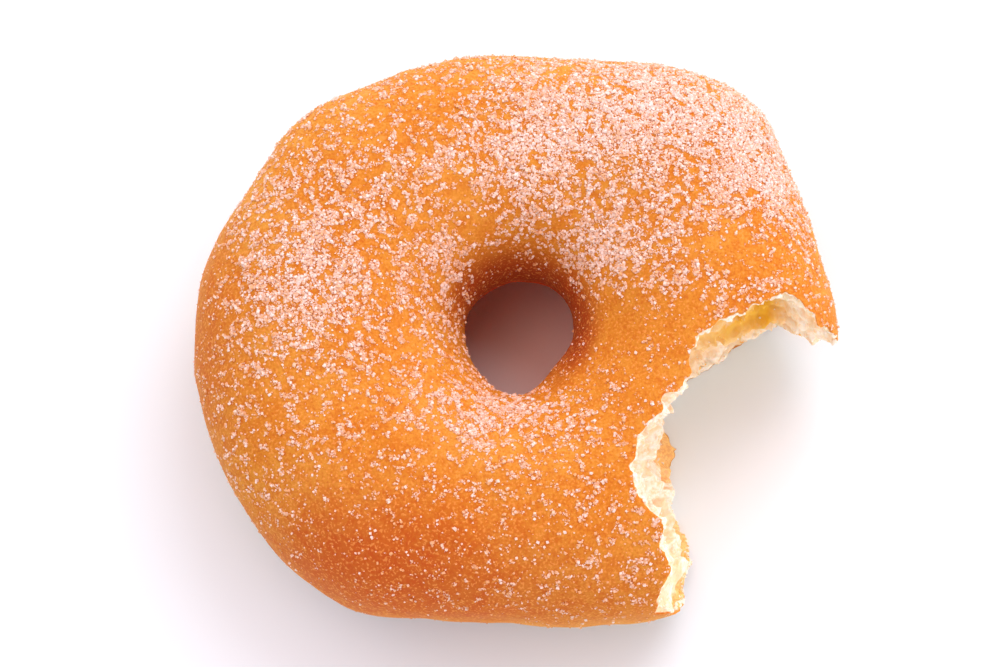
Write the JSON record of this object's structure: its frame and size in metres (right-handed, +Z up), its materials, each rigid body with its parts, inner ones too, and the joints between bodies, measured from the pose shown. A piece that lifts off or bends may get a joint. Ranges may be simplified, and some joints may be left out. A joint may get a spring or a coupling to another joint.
{
  "type": "bitten ring doughnut",
  "caption": "Bitten sugared ring doughnut lying flat: a browned, uneven ring with a craggy bite taken out of its side and coarse sugar on its crust.",
  "frame": {"origin": "under the middle of the doughnut, on the surface that it lies on", "axes": "+Z up, along the hole; +X towards the bitten side; +Y towards the far side of the picture"},
  "size_m": [0.0972, 0.089, 0.0332],
  "materials": {
    "crust": "fried crust, slightly oily, golden to brown",
    "crumb": "soft torn crumb, cream to yellow",
    "sugar": "white sugar grains, slightly clear"
  },
  "bodies": {
    "root": {"doughnut": "crust"}
  },
  "joints": []
}
